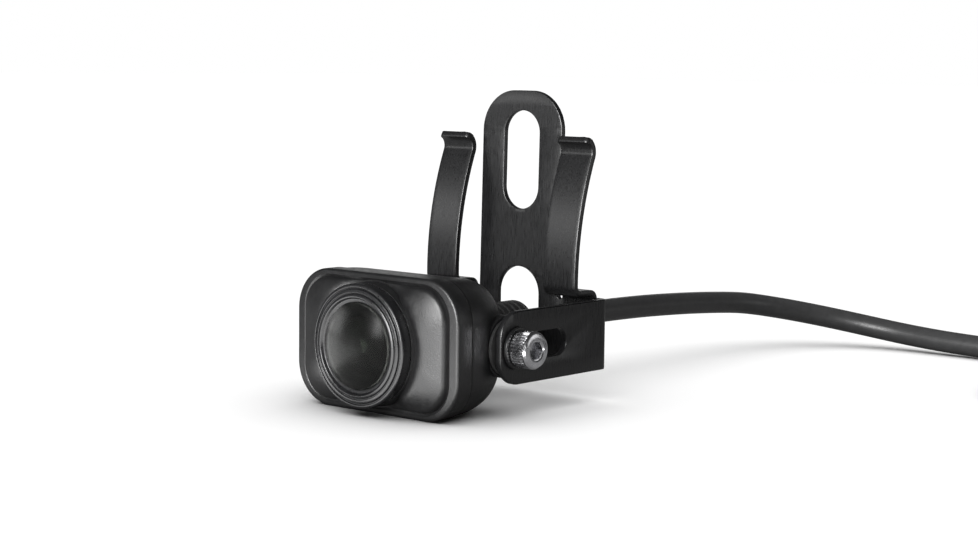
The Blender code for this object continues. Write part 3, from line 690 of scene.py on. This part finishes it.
def cut_flat(flat, point, normal):
    """Divide the faces of the flat sheet along a line, so that it can bend there."""
    geometry = flat.verts[:] + flat.edges[:] + flat.faces[:]
    bmesh.ops.bisect_plane(flat, geom=geometry, dist=1e-5, plane_co=point, plane_no=normal)


def flat_pattern():
    """The unbent sheet with its slots, divided wherever it will bend."""
    half = sheet_outline()
    slot_u = BEND_END + MIDDLE_Y - BEND_RADIUS - PIVOT_Y
    ear_slot = arc_points(slot_u, AXIS_Z, EAR_SLOT_RADIUS, -90, 90, 24)
    ear_slot += arc_points(slot_u - EAR_SLOT_TRAVEL, AXIS_Z, EAR_SLOT_RADIUS, 90, 270, 24)
    edge = half + [(-u, v) for u, v in reversed(half[1:])]
    loops = [edge, ear_slot, [(-u, v) for u, v in ear_slot], upright_slot(5.6, 45.0, 69.4),
             upright_slot(6.6, 9.8, 30.7)]
    flat = bmesh.new()
    for loop in loops:
        points = [flat.verts.new((u, v, 0)) for u, v in loop]
        for a, b in zip(points, points[1:] + points[:1]):
            flat.edges.new((a, b))
    bmesh.ops.remove_doubles(flat, verts=flat.verts, dist=1e-4)
    bmesh.ops.triangle_fill(flat, edges=flat.edges[:], use_beauty=True, use_dissolve=False)
    for side in (-1, 1):
        for i in range(11):
            cut_flat(flat, (side * (BEND_START + BEND_RADIUS * pi / 2 * i / 10), 0, 0), (1, 0, 0))
        for i in range(1, 6):
            cut_flat(flat, (side * (ARM_X[0] + (ARM_X[1] - ARM_X[0]) * i / 6), 0, 0), (1, 0, 0))
    for v in [EAR_TOP_Z] + [ARM_START + station[0] for station in ARM[:-1]]:
        cut_flat(flat, (0, v, 0), (0, 1, 0))
    return flat


def cut_edges(flat):
    return [edge for edge in flat.edges if len(edge.link_faces) == 1]


def ways_out(flat):
    """The direction out of the flat sheet at each vertex on its edge, by the vertex's index."""
    out = {}
    for edge in cut_edges(flat):
        face_centre = edge.link_faces[0].calc_center_median()
        a, b = edge.verts
        outward = Vector((b.co.y - a.co.y, a.co.x - b.co.x, 0)).normalized()
        if outward.dot(face_centre - a.co) > 0:
            outward.negate()
        for vert in edge.verts:
            out[vert.index] = out.get(vert.index, Vector((0, 0, 0))) + outward
    return out


def folded_layer(solid, verts, out, offset, inset):
    """Vertices of one layer of the bent sheet, drawn in from its edge by inset mm."""
    row = {}
    for vert in verts:
        spot = vert.co.copy()
        if vert.index in out:
            spot -= out[vert.index].normalized() * inset
        row[vert.index] = solid.verts.new(fold(spot.x, spot.y, offset))
    return row


def bracket():
    """The flat pattern folded into place in layers, so that the sheet's cut edges are rounded."""
    flat = flat_pattern()
    flat.verts.index_update()
    out = ways_out(flat)
    edge_verts = [vert for vert in flat.verts if vert.index in out]
    solid = bmesh.new()
    face = SHEET / 2
    rows = [folded_layer(solid, flat.verts, out, face, EDGE_ROUND)]
    for offset, inset in ((face - EDGE_MIDDLE, EDGE_MIDDLE), (face - EDGE_ROUND, 0.0),
                          (-face + EDGE_ROUND, 0.0), (-face + EDGE_MIDDLE, EDGE_MIDDLE)):
        rows.append(folded_layer(solid, edge_verts, out, offset, inset))
    rows.append(folded_layer(solid, flat.verts, out, -face, EDGE_ROUND))
    for facet in flat.faces:
        order = [vert.index for vert in facet.verts]
        solid.faces.new([rows[0][i] for i in order])
        solid.faces.new([rows[-1][i] for i in reversed(order)])
    for edge in cut_edges(flat):
        a, b = (vert.index for vert in edge.verts)
        for upper, lower in zip(rows, rows[1:]):
            solid.faces.new((upper[a], upper[b], lower[b], lower[a]))
    flat.free()
    return show("clip_bracket", solid, SHEET_STEEL, "bracket", "black_steel", "mounting_bracket")


# --- cable -----------------------------------------------------------------------------------------

CABLE_RADIUS = 3.05
CABLE_ROUTE = [
    (0, 51.1, 16.3), (0, 62, 16.4), (0, 76, 16.5), (0, 90, 16.4), (0, 104, 16.1), (0, 118, 15.5),
    (0, 130, 14.8), (0.1, 142, 13.9), (0.9, 151, 13.0), (3.6, 159.5, 11.6), (8.9, 167.8, 9.8),
    (16.2, 174.5, 7.9), (25, 179.1, 6.1), (34.7, 181.3, 4.7), (46, 181.6, 3.8), (58, 181.6, 3.3),
    (70, 181.6, 3.1), (82, 181.6, 3.05), (94, 181.6, 3.05), (103.5, 181.6, 3.1),
]
LEAVING_COIL = [(159.6, 138, 9.8), (159.6, 131, 10.15), (159.6, 125, 9.9)]
TAIL_ROUTE = [(159.6, 118.7, 9.0), (159.6, 114, 8.4), (159.6, 109.5, 7.8), (159.6, 105.0, 7.5)]
COIL_CENTRE = (126.0, 145.0)
PLUG_ENTRY = (159.6, 104.7, 7.5)


def coil_points():
    """Two and a quarter turns clockwise seen from above, starting along +X where the cable meets it.

    The first turn is the outer one on the floor, the second lies inside it and then climbs on both."""
    outer, inner, upper = 36.6, 30.5, 33.55
    low, high = 3.95, 9.25
    points = []
    for k in range(1, 85):
        lap = 2.25 * k / 84
        radius = outer + (inner - outer) * smooth(lap, 0.70, 0.97) + (upper - inner) * smooth(lap, 1.54, 1.76)
        height = 3.1 + (low - 3.1) * smooth(lap, 0.0, 0.12) + (high - low) * smooth(lap, 1.42, 1.70)
        angle = pi / 2 - 2 * pi * lap
        points.append((COIL_CENTRE[0] + radius * cos(angle), COIL_CENTRE[1] + radius * sin(angle), height))
    return points


def smooth(value, low, high):
    """0 up to low, 1 from high on, and a soft rise between them."""
    t = min(max((value - low) / (high - low), 0.0), 1.0)
    return t * t * (3 - 2 * t)


def smooth_route(points, steps):
    """A smooth curve through the points, with this many steps from each to the next."""
    nodes = [Vector(p) for p in points]
    before = [nodes[0] * 2 - nodes[1]] + nodes[:-1]
    after = nodes[1:] + [nodes[-1] * 2 - nodes[-2]]
    slopes = [(b - a) / 6 for a, b in zip(before, after)]
    curve = [nodes[0]]
    for p0, p1, s0, s1 in zip(nodes, nodes[1:], slopes, slopes[1:]):
        curve.extend(interpolate_bezier(p0, p0 + s0, p1 - s1, p1, steps + 1)[1:])
    return curve


def cable():
    """The cable from the strain relief through its coil to the plug, and its length in metres."""
    route = smooth_route(CABLE_ROUTE, 2) + coil_points()
    route = smooth_route(route + LEAVING_COIL + TAIL_ROUTE, 2)
    data = bpy.data.curves.new("power_and_video_cable", "CURVE")
    data.dimensions = "3D"
    data.bevel_depth = CABLE_RADIUS * MM
    data.bevel_resolution = 6
    data.use_fill_caps = True
    spline = data.splines.new("POLY")
    spline.points.add(len(route) - 1)
    for knot, point in zip(spline.points, route):
        knot.co = (*in_frame(point), 1)
    item = placed("power_and_video_cable", data)
    data.materials.append(CABLE_RUBBER.material)
    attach(item, "camera")
    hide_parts("cable", "cable_coil", "cable_tail")
    return item, sum((b - a).length for a, b in zip(route, route[1:])) * MM


SLEEVE_RADIUS = 6.0
SLEEVE_START, SLEEVE_END = 30.4, 49.2          # of the stretch with grooves
SLEEVE_TIP = SLEEVE_END + 1.6
GROOVE_PITCH = 2.2
GROOVE_DEPTH = 1.05


def sleeve_radius(y, angle):
    """Radius of the grooved stretch. The grooves slant, and fade out at both ends."""
    phase = ((y - 0.9 * sin(angle) - SLEEVE_START) / GROOVE_PITCH) % 1.0
    groove = smooth(phase, 0.0, 0.1) * (1 - smooth(phase, 0.30, 0.40))
    inside = min(smooth(y, SLEEVE_START, SLEEVE_START + 0.3), 1 - smooth(y, SLEEVE_END - 0.3, SLEEVE_END))
    return SLEEVE_RADIUS - GROOVE_DEPTH * groove * inside


def strain_relief():
    """Flexible sleeve with slanted segments, as moulded on the cable where it leaves the housing."""
    segments, steps = 72, 150
    collar, tip = REAR_Y + 0.3, SLEEVE_TIP
    front = [(0, 24.0), (4.1, 24.0), (4.1, collar), (SLEEVE_RADIUS, collar), (6.2, collar + 0.2), (6.2, 29.9),
             (SLEEVE_RADIUS, 30.1)]
    rear = [(SLEEVE_RADIUS, tip - 1.2), (5.92, tip - 0.75), (5.7, tip - 0.35), (5.3, tip - 0.1), (4.8, tip),
            (0, tip)]
    angles = [2 * pi * i / segments for i in range(segments)]
    bm = bmesh.new()
    rows = [ring_row(bm, y, [radius] * segments) for radius, y in front]
    for k in range(steps + 1):
        y = SLEEVE_START + (SLEEVE_END - SLEEVE_START) * k / steps
        rows.append(ring_row(bm, y, [sleeve_radius(y, angle) for angle in angles]))
    rows += [ring_row(bm, y, [radius] * segments) for radius, y in rear]
    skin(bm, rows)
    show("cable_sleeve", lifted(bm, (0, 0, AXIS_Z)), SOFT_RUBBER, "camera", "rubber", "strain_relief")


def coil_tie():
    """A flat rubber strap round all the turns of the coil."""
    section = [(27.3, 1.2), (28.3, 0), (38.8, 0), (39.8, 1.2), (39.8, 4.6), (37.0, 10.3), (35.2, 11.5),
               (31.9, 11.5), (30.1, 10.3), (27.3, 4.6)]
    middle = Vector((33.55, 5.75))
    half = Vector((6.25, 5.75))

    def grown(x, amount):
        """The section at x, larger by amount mm, and by 0.3 mm more across the coil's turns."""
        away = [Vector(point) - middle for point in section]
        return [(x, middle.x + a.x * (1 + (amount + 0.3) / half.x), middle.y + a.y * (1 + amount / half.y))
                for a in away]

    layers = [(-3.5, 0.35), (-3.4, 0.75), (-3.1, 0.8), (3.1, 0.8), (3.4, 0.75), (3.5, 0.35), (3.4, 0.3),
              (-3.4, 0.3)]
    strap = loft([grown(x, amount) for x, amount in layers])
    place = Matrix.Translation((*COIL_CENTRE, 0.9)) @ Matrix.Rotation(radians(-50), 4, "Z")
    return show("tie_strap", moved(strap, place), SOFT_RUBBER, "camera", "rubber", "coil_tie")


def nut_rib(i):
    """Change of radius at point i round the coupling ring: a groove on two points of every six."""
    return -0.28 if i % 6 in (0, 1) else 0


def plug():
    """Round screw-on plug: the ribbed moulding and the ribbed coupling ring. Returns the moulding."""
    turn = Matrix.Translation(PLUG_ENTRY) @ Matrix.Rotation(pi, 4, "Z")
    body = [(0, 0), (3.4, 0), (3.6, 0.3)]
    for k in range(5):
        y = 1.2 + k * 1.7
        body.extend([(3.75 + 0.2 * k, y), (3.35 + 0.2 * k, y + 0.15), (3.4 + 0.2 * k, y + 0.75),
                     (3.85 + 0.2 * k, y + 0.9)])
    body.extend([(5.0, 12.0), (5.6, 13.0), (5.6, 22.0), (6.2, 22.0), (6.2, 23.4), (5.2, 23.4), (5.2, 31.0),
                 (4.2, 31.0), (4.2, 24.0), (0, 24.0)])
    nut = [(7.5, 20.4, 1.0), (7.5, 32.2, 1.0), (7.1, 33.0), (6.7, 33.0), (6.7, 21.7), (5.9, 21.7),
           (5.9, 19.5), (7.1, 19.5)]
    moulding = show("plug_moulding", moved(turned(eased(body, 0.15, 2), 64), turn), PLUG_PLASTIC, "camera",
                    "black_plastic", "plug_body")
    show("plug_nut", moved(turned(eased(nut, 0.2, 2), 144, nut_rib), turn), PLUG_PLASTIC, "coupling_ring",
         "black_plastic", "coupling_ring")
    return moulding


# --- carried-over nodes ----------------------------------------------------------------------------

def dress_nodes():
    """Give a material to the pieces that keep their CAD shape."""
    looks = {
        "housing_gasket": SOFT_RUBBER, "glass_seal": SOFT_RUBBER, "plug_seal": SOFT_RUBBER,
        "friction_washer_left": SOFT_RUBBER, "friction_washer_right": SOFT_RUBBER,
        "aperture_ring": INNER_PLASTIC, "lens_holder": INNER_PLASTIC,
        "rear_lens_element": COATED_GLASS, "infrared_filter": FILTER_GLASS, "image_sensor": CHIP,
        "sensor_board": BOARD, "main_board": BOARD, "shield_can": CAN_STEEL,
        "wire_connector": WHITE_PLASTIC, "contact_insert": WHITE_PLASTIC, "inner_lead": CABLE_RUBBER,
        "thread_insert_left": BRASS, "thread_insert_right": BRASS,
    }
    for number in (1, 2, 3, 4):
        looks[f"housing_screw_{number}"] = SCREW_STEEL
        looks[f"board_spacer_{number}"] = BRASS
    for name, look in looks.items():
        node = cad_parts[name]
        node.data.materials.clear()
        node.data.materials.append(look.material)


# --- floor, light and camera -----------------------------------------------------------------------

FLOOR_SIZE = 6.0                               # metres from its middle to its edge
FLOOR_COLOUR = (0.95, 0.95, 0.95)
FLOOR_BOUNCE = (0.26, 0.26, 0.26)
WHITE_ROOM = (1.0, 1.0, 1.0, 1.0)
DIM_ROOM = (0.05, 0.05, 0.05, 1.0)


def floor():
    """Pale floor. Light that bounces off it onto the object is dimmer than the floor looks."""
    bm = bmesh.new()
    bmesh.ops.create_grid(bm, x_segments=8, y_segments=8, size=FLOOR_SIZE)
    item = placed("floor", mesh_of("floor", bm))
    item.location.z = -0.1 * MM
    look = Look("pale_floor", FLOOR_COLOUR, 1.0)
    look.set("Specular IOR Level", 0.0)
    seen = look.node("ShaderNodeLightPath").outputs["Is Camera Ray"]
    look.tint(look.ranged(seen, 0.3, 0.7, 0.0, 1.0), FLOOR_BOUNCE, FLOOR_COLOUR)
    item.data.materials.append(look.material)
    return item


def softbox(name, azimuth, elevation, distance, width, height, radiance, target=(0, 0, 0.03)):
    """An area light facing the target. Azimuth 0 is in front of the lens, positive to the right."""
    data = bpy.data.lights.new(name, "AREA")
    data.shape = "RECTANGLE"
    data.size = width
    data.size_y = height
    data.energy = radiance * pi * width * height
    item = placed(name, data)
    a, e = radians(azimuth), radians(elevation)
    away = Vector((sin(a) * cos(e), -cos(a) * cos(e), sin(e)))
    item.location = Vector(target) + away * distance
    item.rotation_euler = away.to_track_quat("Z", "Y").to_euler()
    item.visible_camera = False
    return item


def overhead(irradiance, spread):
    """The broad light from above that lights the floor and shades it softly under the object."""
    data = bpy.data.lights.new("overhead", "SUN")
    data.energy = irradiance
    data.angle = radians(spread)
    placed("overhead", data).visible_glossy = False


def room():
    """A world that is white where the camera sees it, and dim in reflections."""
    world = bpy.data.worlds.new("studio")
    bpy.context.scene.world = world
    world.use_nodes = True
    tree = world.node_tree
    path = tree.nodes.new("ShaderNodeLightPath")
    mix = tree.nodes.new("ShaderNodeMix")
    mix.data_type = "RGBA"
    mix.inputs["A"].default_value = DIM_ROOM
    mix.inputs["B"].default_value = WHITE_ROOM
    tree.links.new(path.outputs["Is Camera Ray"], mix.inputs["Factor"])
    tree.links.new(mix.outputs["Result"], tree.nodes["Background"].inputs["Color"])


def studio(ground, glass, sheet, screws):
    """The room, the light from above, and softboxes that are kept off the floor.

    The cover glass has lights of its own, and the bracket and the screws have one more each. The two
    cards lie 1 mm above the floor and face up. The numbers are azimuth, elevation, distance, width,
    height and radiance."""
    room()
    overhead(3.4, 115)
    body_lights = [
        softbox("key", 7, 15, 0.9, 0.46, 0.46, 27.0),
        softbox("left_bank", -46, 13, 1.0, 0.5, 0.2, 0.7),
        softbox("right_rear", 128, 4, 0.9, 0.4, 0.4, 1.0),
        softbox("behind", 221, 8, 1.2, 0.9, 0.30, 0.8),
        softbox("card", 0, -90, 0.199, 0.18, 0.22, 4.5, (0.04, -0.145, 0.2)),
    ]
    glass_lights = [
        softbox("glass_left", -82, 2, 0.7, 0.7, 0.22, 1.4, (0, 0, 0.09)),
        softbox("glass_card", 0, -90, 0.199, 0.24, 0.16, 0.8, (-0.15, -0.04, 0.2)),
        softbox("glass_right", -7, 17, 0.9, 0.09, 0.34, 9.0),
    ]
    for light in body_lights:
        linked(light, [glass, ground], "EXCLUDE")
    for light in glass_lights:
        linked(light, [glass], "INCLUDE")
    linked(softbox("arm_sheen", -44, 12, 1.2, 0.6, 0.22, 2.4), [sheet], "INCLUDE")
    linked(softbox("screw_top", -62, 22, 0.8, 1.1, 0.8, 4.0), screws, "INCLUDE")


def linked(light, items, state):
    """Let a light fall only on these pieces, or on everything but them."""
    group = bpy.data.collections.new(light.name + "_reach")
    for item in items:
        group.objects.link(item)
    for entry in group.collection_objects:
        entry.light_linking.link_state = state
    light.light_linking.receiver_collection = group


VIEWPOINT = (319.06, -328.25, 82.30)
VIEW_FORWARD = Vector((-0.65107, 0.75127, -0.10817))
VIEW_RIGHT = Vector((0.75481, 0.65583, 0.01176))
FOCAL_LENGTH = 73.6


def camera():
    """The photograph's viewpoint: from the front right, looking down by about 6 degrees."""
    data = bpy.data.cameras.new("camera")
    data.sensor_width = 36.0
    data.lens = FOCAL_LENGTH
    data.clip_start = 0.01
    data.clip_end = 50.0
    item = placed("camera", data)
    turn = Matrix((VIEW_RIGHT, VIEW_RIGHT.cross(VIEW_FORWARD), -VIEW_FORWARD)).transposed()
    item.matrix_world = Matrix.Translation(in_frame(VIEWPOINT)) @ turn.to_4x4()
    bpy.context.scene.camera = item


# --- assembly --------------------------------------------------------------------------------------

bpy.context.scene.view_settings.view_transform = "Standard"
camera()
cable_piece, cable_length = cable()
tie = coil_tie()
plug_moulding = plug()
front_shell()
rear_shell()
studio(floor(), lens(), bracket(), pivot_screws())
strain_relief()
dress_nodes()
